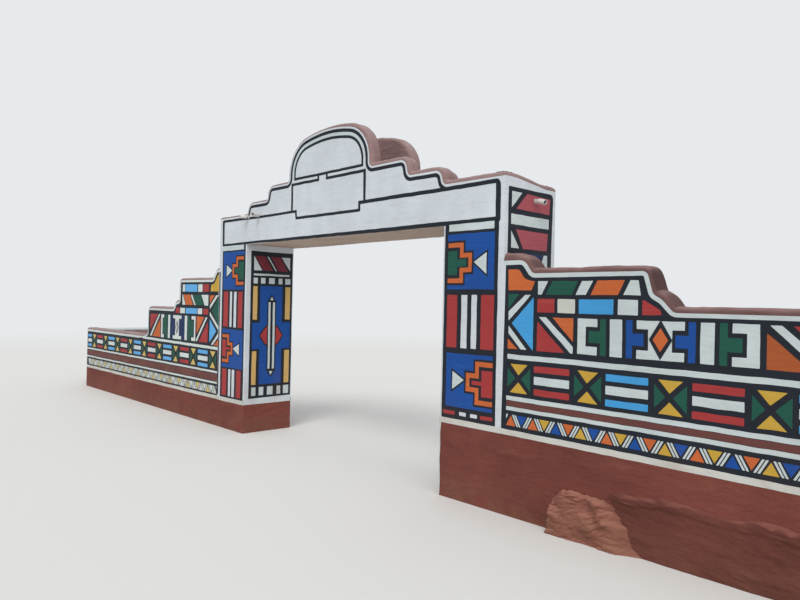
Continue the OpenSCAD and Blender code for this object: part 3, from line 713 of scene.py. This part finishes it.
right = Face("right_wall", (HALF, FRONT), (1, 0), (0, -1))
left = Face("left_wall", (-HALF, FRONT), (-1, 0), (0, -1))
left.swaps = {WHITE: "mint_white", SKY: "pale_sky"}
SAG = [(0.7, 0.007), (0.8, 0.0055), (0.87, 0.0065), (1, 0.0045), (1.42, 0.0045), (1.45, 0)]
right.sag = lambda u, v: min(max(u, 0), 2.4) * between(SAG, v)
for face, line, plinth, top, start, edging in (
        (right, RIGHT_TOP, 0.709, 0.757, 0.005, [(0, 0.038), (1.25, 0.034), (1.55, 0.03), (WALL_L, 0.032)]),
        (left, LEFT_TOP, 0.386, 0.436, 0.002,
         [(0, 0.033), (2.4, 0.031), (2.5, 0.022), (2.75, 0.024), (2.95, 0.037), (WALL_L, 0.037)])):
    under = [q for q in below(line, MARGIN) if start < q[0] < PAINT_END]
    face.put(BLACK, [(PAINT_END, plinth), (start, plinth)] + under, 1, 0.4)
    face.put(WHITE, ribbon([m for m in line if m[0] < PAINT_END], 0, edging), 2, 0.5)
    face.box("dusty_white", 0.002, PAINT_END, plinth, top, 3)

# right wall
right.box("plinth_paint", 0.002, 1.6, 0.69, 0.712)
right.box(WHITE, 0.06, 2.72, 1.375, 1.418)
shapes(right, [
    (ORANGE, (0.054, 2.1615), (0.15, 2.159), (0.178, 2.147), (0.195, 2.1235), (0.212, 2.098), (0.239, 2.0745),
     (0.284, 2.061), (0.337, 2.053), (0.304, 1.977), (0.059, 1.977)),
    (GREEN, (0.059, 1.944), (0.175, 1.944), (0.059, 1.815)),
    (WHITE, (0.236, 1.938), (0.298, 1.938), (0.062, 1.71), (0.062, 1.79)),
    (SKY, (0.1, 1.689), (0.328, 1.918), (0.328, 1.464)),
    (WHITE, (0.066, 1.667), (0.262, 1.468), (0.2, 1.468), (0.066, 1.6)),
    (ORANGE, (0.06, 1.552), (0.168, 1.466), (0.06, 1.466)),
    (RED, (1.302, 1.906), (1.325, 1.9), (1.363, 1.878), (1.41, 1.853), (1.44, 1.832), (1.452, 1.8),
     (1.302, 1.793))])
slants(right, 1.941, 2.054, [
    (WHITE, 0.371, 0.471, 0.371, 0.408), (GREEN, 0.512, 0.752, 0.447, 0.697), (WHITE, 0.789, 0.889, 0.73, 0.823),
    (ORANGE, 0.926, 1.158, 0.867, 1.1), (WHITE, 1.204, 1.268, 1.145, 1.288)])
slants(right, 1.791, 1.906, [
    (RED, 0.367, 0.536), ("cream_paint", 0.567, 0.728), (SKY, 0.762, 1.067), (WHITE, 1.104, 1.267)])
great_band(right, 1.4446, 1.4655, 1.7545, (
    ((0.177, 0.088), (0.204, 0.255, 0.113), (0.287, 0.383), (0.4164, 0.4675, 0.563), (0.498, 0.592, 0.67)),
    ((0.184, 0.0925), (0.217, 0.2685, 0.128), (0.302, 0.4055), (0.438, 0.488, 0.585), (0.5127, 0.6145, 0.687))),
    share=0.225, diamond=(0.088, 0.505), heart=(0.0576, 0.303), heart_paint=ORANGE, rise=0.006, arms=(0.16, 0.17),
    arm_paint=BLUE, line=0.016)
diagonal_panel(right, 0.369, 0.717, 1.463, 1.752, RED, ORANGE, 0.875)
diagonal_panel(right, 2.1566, 2.5066, 1.463, 1.752, "deep_orange", RED, 0.82)
saltire_row(right, 0.067, 0.669, 0.24, WALL_L - 0.1, 1.086, 1.335, (RED, SKY))
plain_bands(right, 0.06, WALL_L - 0.05, (1.015, 1.052), (0.963, 1.0115), (0.928, 0.96))
triangle_row(right, 0.117, WALL_L - 0.06, 0.794, 0.892, 0.1157, (YELLOW, BLUE, ORANGE),
             ORANGE, [(0, -0.004), (1.4, -0.013), (1.85, -0.012), (2.25, -0.003)])

# left wall
left.put(WHITE, [(MARGIN, 1.099), (2.72, 1.123), (2.72, 1.162), (MARGIN, 1.14)])
shapes(left, [
    (YELLOW, (0.006, 1.953), *[q for q in below(LEFT_TOP, 0.07) if 0.006 < q[0] < 0.262], (0.262, 1.953)),
    (ORANGE, (0.28, 1.894), (0.127, 1.894), (0.28, 1.774)),
    (WHITE, (0.014, 1.896), (0.082, 1.896), (0.274, 1.745), (0.274, 1.69)),
    (GREEN, (0.002, 1.876), (0.002, 1.47), (0.214, 1.674)),
    (WHITE, (0.27, 1.652), (0.27, 1.596), (0.004, 1.388), (0.004, 1.444)),
    (SKY, (0.269, 1.542), (0.269, 1.194), (0.062, 1.37)),
    (WHITE, (0.004, 1.342), (0.004, 1.292), (0.155, 1.165), (0.214, 1.165)),
    (ORANGE, (0.002, 1.25), (0.002, 1.16), (0.128, 1.16)),
    (RED, (0.3265, 1.505), (0.3265, 1.186), (0.61, 1.186)),
    (WHITE, (0.344, 1.568), (0.392, 1.568), (0.7, 1.214), (0.7, 1.188), (0.668, 1.188)),
    (ORANGE, (0.444, 1.568), (0.692, 1.568), (0.684, 1.296)),
    (ORANGE, (2, 1.496), (2, 1.187), (2.316, 1.187)),
    (WHITE, (2.01, 1.568), (2.062, 1.568), (2.405, 1.202), (2.4, 1.189), (2.352, 1.189)),
    (RED, (2.096, 1.568), (2.404, 1.568), (2.41, 1.292))])
slants(left, 1.947, 2.06, [
    (RED, 0.318, 0.496), (WHITE, 0.522, 0.658), (SKY, 0.688, 1.097), (WHITE, 1.108, 1.19)])
slants(left, 1.742, 1.9, [
    (WHITE, 0.329, 0.552, 0.329, 0.443), (GREEN, 0.563, 0.825, 0.471, 0.732), (WHITE, 0.852, 0.904, 0.735, 0.78),
    (ORANGE, 0.926, 1.16, 0.824, 1.066), (WHITE, 1.176, 1.196, 1.084, 1.19)])
slants(left, 1.606, 1.693, [
    (RED, 0.3235, 0.4815), (WHITE, 0.52, 0.661), (SKY, 0.678, 1.064), (WHITE, 1.097, 1.266),
    (RED, 1.288, 1.39, 1.288, 1.4455)])
great_band(left, 1.363, 1.186, 1.568, (
    ((0.152, 0.07), (0.166, 0.246, 0.082), (0.258, 0.338), (0.364, 0.444, 0.532), (0.496, 0.55, 0.606)),
    ((0.152, 0.07), (0.166, 0.256, 0.082), (0.271, 0.353), (0.382, 0.46, 0.566), (0.504, 0.59, 0.637))),
    share=0.14, diamond=(0.051, 0.285), heart=(0.03, 0.19), heart_paint="cream_paint", rise=0, arms=(0.32, 0.32),
    arm_paint="navy_paint", line=0.012)
saltire_row(left, 0.05, 0.6215, 0.214, WALL_L - 0.06, 0.825, 1.071, (SKY, RED), (0.046, 0.048), "pale_yellow")
plain_bands(left, MARGIN, PAINT_END, (0.762, 0.792), (0.645, 0.75), (0.604, 0.632))
triangle_row(left, 0.07, WALL_L - 0.04, 0.462, 0.57, 0.108, ("cream_paint", WHITE, "pale_yellow"), "cream_paint")

# --- plain brown backs of the boundary walls and of the leaf over the roof
BACK_L = WALL_L - WALL_T
for side, word, line, plinth, low in SIDES:
    back = Face(f"{word}_wall_back", (side * HALF, FRONT + WALL_T), (side, 0), (0, 1))
    run = [m for m in line if m[0] <= BACK_L]
    back.put("rear_plaster", [(BACK_L, plinth), (0, plinth)] + [q for q in below(line, 0) if q[0] <= BACK_L], 1, 0.2)
    back.put(WHITE, ribbon(run, 0, 0.039), 2, 0.5)
    edge = Face(f"{word}_return_inside", (side * (HALF + WALL_L - WALL_T), FRONT + WALL_T), (0, 1), (-side, 0))
    edge.box(WHITE, 0.003, RETURN_L - WALL_T - MARGIN, low - 0.018, low)
over_roof = Face("front_leaf_back", (0, FRONT + LEAF), (1, 0), (0, 1))
over_roof.put("rear_plaster", [(HALF - LEAF, 2.76), (-HALF + LEAF, 2.76)]
              + [q for q in below(PARAPET, 0) if abs(q[0]) < HALF - LEAF], 1, 0.2)
for face in FACES:
    face.dry()


# --- copings, swept along the wall tops
def section(t):
    """The coping's section: height over the masonry and distance through the wall."""
    rise, quarter = COPING_H - COPING_R, [pi / 2 * k / 6 for k in range(7)]
    near = [(rise + COPING_R * sin(a), COPING_R * (1 - cos(a))) for a in quarter]
    far = [(rise + COPING_R * cos(a), t - COPING_R * (1 - sin(a))) for a in quarter]
    top = [(COPING_H, COPING_R + (t - 2 * COPING_R) * k / 3) for k in (1, 2)]
    return [(0, 0)] + near + top + far + [(0, t)]


def coping(node, line, t, outside, cuts, place, swell=1, rough=1, material="coping_paint"):
    """A rounded coping, uneven as plaster shaped by hand is. swell: its height as a share, or a table."""
    ring, vertices = section(t), []
    m, n = len(ring), len(line)
    for i, (x, z, h) in enumerate(line):
        for up, through in ring:
            up *= between(swell, x)
            back = abs(through - outside)
            slide = cuts[0] * back if i == 0 else -cuts[1] * back if i == n - 1 else 0
            spot = Vector((x - up * sin(h) + slide * cos(h), z + up * cos(h) + slide * sin(h)))
            point = place(spot.x, spot.y, through)
            if up > 0.005:
                lump = 0.5 + 0.7 * noise.noise(point * 4) + 0.45 * noise.noise(point * 13)
                sink = 0.011 * between(rough, x) * max(0, lump) * min(1, up / COPING_H)
                middle = place(x, z, t / 2)
                point = point + (middle - point).normalized() * sink
            vertices.append(point)
    sides = [(i * m + j, i * m + (j + 1) % m, (i + 1) * m + (j + 1) % m, (i + 1) * m + j)
             for i in range(n - 1) for j in range(m)]
    caps = [list(range(m - 1, -1, -1)), [(n - 1) * m + j for j in range(m)]]
    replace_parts(round_piece(f"{node}_skin", vertices, sides + caps, material, 50), node)


along_front = lambda x, z, through: Vector((x, FRONT + through, z))
along_rear = lambda x, z, through: Vector((x, REAR - LEAF + through, z))
coping("front_coping", PARAPET, LEAF, 0, (1, 1), along_front,
       [(-HALF, 0.6), (-0.9, 0.6), (-0.3, 0.7), (0.1, 0.8), (0.4, 1), (HALF, 1)])
coping("rear_coping", REAR_PARAPET, LEAF, LEAF, (1, 1), along_rear)
for side, word, line, _, low in SIDES:
    end_wall = lambda y, z, through: Vector((side * (HALF - LEAF + through), y, z))
    coping(f"{word}_end_coping", rounded(END_TOP), LEAF, LEAF, (1, 1), end_wall,
           1 if side > 0 else [(FRONT, 0.6), (FRONT + 0.5, 1)])
    wall = lambda x, z, through: Vector((side * (HALF + x), FRONT + through, z))
    coping(f"{word}_wall_coping", line, WALL_T, 0, (0, 1), wall,
           [(0, 1.6), (0.1, 1.5), (0.21, 1.05), (WALL_L, 1)] if side > 0 else 0.8,
           [(0, 1.6), (0.5, 1.6), (0.8, 1.1), (WALL_L, 1.1)], "wall_coping" if side > 0 else "coping_paint")
    back = lambda y, z, through: Vector((side * (HALF + WALL_L - WALL_T + through), y, z))
    run = rounded([(FRONT, low, 0), (FRONT + RETURN_L, low, 0)])
    coping(f"{word}_return_coping", run, WALL_T, WALL_T, (1, 0), back, 0.5, 0.6, WHITE)


# --- the rough foot of the right wall
def smooth(x):
    x = min(1, max(0, x))
    return x * x * (3 - 2 * x)


def crust(name, node, material, start, end, top, step, out):
    """Plaster that stands out from the wall's foot by out(u, z)."""
    cols, rows, vertices = round((end - start) / step), round(top / step), []
    for j in range(rows + 1):
        for i in range(cols + 1):
            u, z = start + (end - start) * i / cols, top * j / rows
            low = 0.007 * max(0, bumps(u * 11, 0, 3)) if j == 0 else 0
            vertices.append((HALF + u, FRONT - out(u, z), z + low))
    at = lambda i, j: j * (cols + 1) + i
    faces = [(at(i, j), at(i + 1, j), at(i + 1, j + 1), at(i, j + 1)) for j in range(rows) for i in range(cols)]
    rim = ([at(i, 0) for i in range(cols)] + [at(cols, j) for j in range(rows)]
           + [at(i, rows) for i in range(cols, 0, -1)] + [at(0, j) for j in range(rows, 0, -1)])
    start_back, n = len(vertices), len(rim)
    vertices += [(vertices[k][0], FRONT + 0.012, vertices[k][2]) for k in rim]
    faces += [(rim[k], start_back + k, start_back + (k + 1) % n, rim[(k + 1) % n]) for k in range(n)]
    faces.append([start_back + k for k in range(n - 1, -1, -1)])
    piece = new_piece(name, vertices, faces, material, True)
    piece.data.set_sharp_from_angle(angle=radians(48))
    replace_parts(piece, node)


CREST = [(0.9, 0.4), (1.1, 0.412), (1.27, 0.416), (1.46, 0.446), (1.72, 0.432), (1.95, 0.404), (2.12, 0.434),
         (2.35, 0.42), (2.7, 0.442), (3.1, 0.404), (3.6, 0.43), (4.2, 0.396), (4.8, 0.44), (WALL_L, 0.412)]
LIP = [(0.9, 0), (1.18, 0.019), (1.35, 0.016), (1.5, 0.023), (1.7, 0.01), (1.9, 0.002), (2.02, 0.006), (2.15, 0.018),
       (2.4, 0.02), (2.62, 0.004), (2.95, 0.014), (3.3, 0.02), (3.7, 0.005), (4.3, 0.018), (4.9, 0.008),
       (WALL_L, 0.016)]


def foot_out(u, z):
    """A skirt of plaster: a rolled lip along the wall, a hollow under it and a belly down to the ground."""
    crest = between(CREST, u) - 0.024 + 0.016 * bumps(u * 4.2, 1.7, 0) + 0.007 * bumps(u * 13, 0, 0)
    lip = between(LIP, u) * (1 + 0.8 * bumps(u * 11, z * 40, 9.3))
    over = 0.034 + 0.03 * bumps(u * 2.6, 3.3, 0)
    roll = lambda at, wide: exp(-((z - at) / (wide if z < at else 2.8 * wide)) ** 2)
    streak = bumps(u * 2.4, z * 15 + u * 0.9, 0.5) + 0.6 * bumps(u * 8, z * 44 + u * 5, 2.5)
    streak += 0.25 * bumps(u * 30, z * 90 + u * 12, 4.5)
    body = 0.01 + 0.75 * lip * roll(crest - 0.008, 0.016)
    body += 0.7 * lip * roll(crest + over, 0.01) * smooth((u - 1.85) / 0.2)
    body += 0.014 * smooth((0.31 - z) / 0.22) + 0.008 * streak
    return min(0.044, body) - 0.026 * smooth((z - crest - 0.012) / 0.08) - 0.03 * smooth((1.2 - u) / 0.26)


def lump_out(u, z):
    """A crumbled spill of plaster, thick and broken at its left, running out into the skirt at its right."""
    edge = HAUNCH_X + 0.004 + 0.045 * smooth((z - 0.16) / 0.2) + 0.022 * bumps(0, z * 9, 4)
    edge += 0.009 * bumps(0, z * 34, 6)
    top = 0.312 + 0.056 * smooth((u - 0.57) / 0.09) + 0.016 * bumps(u * 6, 8, 0) + 0.011 * bumps(u * 27, 9, 0)
    bend = 0.05 * bumps(u * 7, z * 9, 2)
    big = noise.voronoi(Vector((u * 4 + z * 6, (z + bend) * 19 - u * 7, 1.3)))[0]
    layers = bumps(u * 9 + 30 * bend, z * 36 - u * 14, 4.1) + 0.5 * bumps(u * 24, z * 75, 1)
    flakes = 0.026 * min(0.6, big[1] - big[0]) + 0.011 * abs(layers) + 0.03 * bumps(u * 5, z * 9 + u * 4, 0)
    flakes += 0.0035 * bumps(u * 70, z * 90, 0)
    body = 0.02 + 0.08 * max(0, 1 - z / top) ** 0.7 + flakes
    ragged = 0.06 * bumps(z * 8, 5, 0) + 0.022 * bumps(z * 30, 7, 0)
    share = smooth((u + ragged - 0.9 - 0.7 * max(0, 0.33 - z)) / 0.28)
    body = body * (1 - share) + (foot_out(u, z) - 0.006) * share
    return min(0.143, body) * smooth((u - edge) / 0.03) * smooth((top - z) / 0.04) - 0.007


crust("foot_skin", "right_wall_foot", "foot_plaster", 0.98, WALL_L - 0.002, 0.52, 0.0105, foot_out)
crust("lump_skin", "right_wall_haunch", "broken_plaster", HAUNCH_X - 0.01, 1.46, 0.4, 0.007, lump_out)


# --- the cameras' windows
def turned(name, profile, start, way, material):
    """A small round piece; profile: (distance along way, radius), its ends on the axis."""
    side = way.cross(Vector((0, 0, 1))).normalized()
    over, around = side.cross(way), 28
    vertices, rings = [], []
    for d, r in profile:
        ring = [len(vertices) + k for k in range(around if r > 0 else 1)]
        rings.append(ring)
        for k in range(len(ring)):
            a = 2 * pi * k / around
            vertices.append(start + way * d + (side * cos(a) + over * sin(a)) * r)
    faces = []
    for a, b in zip(rings, rings[1:]):
        for k in range(around):
            corners = [a[k % len(a)], a[(k + 1) % len(a)], b[(k + 1) % len(b)], b[k % len(b)]]
            faces.append([c for i, c in enumerate(corners) if c not in corners[:i]])
    round_piece(name, vertices, faces, material, 40)


BEAM_EYE = (FRONT - 0.022, 2.972)
for word, ball, heading, tilt in (
        ("left", (-1.8, *BEAM_EYE), -112, 0), ("middle", (-1.545, *BEAM_EYE), -72, 4),
        ("right", (HALF + 0.022, -0.2226, 2.8205), -6, -14)):
    a, b = radians(heading), radians(tilt)
    way = Vector((cos(a) * cos(b), sin(a) * cos(b), sin(b)))
    rim = Vector(ball) + way * (0.014 + 0.078)
    turned(f"{word}_camera_window", [
        (-0.006, 0), (-0.006, 0.0182), (-0.0045, 0.0184), (-0.0034, 0.0165), (-0.0022, 0.012), (-0.0012, 0.0065),
        (-0.0008, 0)], rim, way, "lens_glass")
    turned(f"{word}_camera_ring", [
        (-0.0068, 0), (-0.0068, 0.0196), (-0.0022, 0.0196), (-0.0014, 0.019), (-0.0022, 0.018), (-0.0064, 0.0178),
        (-0.0064, 0)], rim, way, "camera_metal")


# --- camera, floor and light
def make_camera():
    """Stands where the photograph was taken, at a standing eye's height."""
    data = bpy.data.cameras.new("camera")
    data.lens, data.sensor_width = 29.889, 36
    data.clip_start, data.clip_end = 0.05, 200
    camera = bpy.data.objects.new("camera", data)
    scene.collection.objects.link(camera)
    place = Matrix.Translation((6.2565, -5.374, 1.85))
    for degrees, axis in ((46.789, "Z"), (90.202, "X"), (1.22, "Z")):
        place @= Matrix.Rotation(radians(degrees), 4, axis)
    camera.matrix_world = place
    scene.camera = camera


def make_floor():
    """A pale floor that fades into the backdrop far from the object."""
    bpy.ops.mesh.primitive_circle_add(vertices=96, radius=60, fill_type="NGON", location=(0, 0, -0.0005))
    floor = bpy.context.object
    floor.name = "floor"
    n = Nodes("floor", 0.9, 0.1)
    n.shader.inputs["Base Color"].default_value = (0.74, 0.73, 0.71, 1)
    away = n.add("ShaderNodeVectorMath", [(0, n.place)], operation="LENGTH")["Value"]
    n.feed(n.shader.inputs["Alpha"], n.ramp(away, 14, 34, 1, 0))
    floor.data.materials.append(n.material)


def make_light():
    """A sky that lights the object, a paler one for the picture, and two soft suns."""
    world = scene.world = bpy.data.worlds.new("studio")
    world.use_nodes = True
    tree = world.node_tree
    tree.nodes.clear()
    out, mix, path, lamp, seen = (tree.nodes.new(f"ShaderNode{kind}") for kind in (
        "OutputWorld", "MixShader", "LightPath", "Background", "Background"))
    for node, colour, strength in ((lamp, (0.93, 0.97, 1, 1), 0.62), (seen, (0.8, 0.82, 0.84, 1), 1)):
        node.inputs["Color"].default_value, node.inputs["Strength"].default_value = colour, strength
    for i, node in enumerate((path, lamp, seen)):
        tree.links.new(node.outputs[0], mix.inputs[i])
    tree.links.new(mix.outputs[0], out.inputs[0])
    for name, spot, energy, angle in (("key", (5, -9, 11), 1.42, 28), ("fill", (9, -2, 8), 0.6, 50)):
        data = bpy.data.lights.new(name, "SUN")
        data.energy, data.angle, data.color = energy, radians(angle), (1, 0.98, 0.95)
        sun = bpy.data.objects.new(name, data)
        scene.collection.objects.link(sun)
        sun.rotation_euler = Vector(spot).to_track_quat("Z", "Y").to_euler()


make_camera()
make_floor()
make_light()
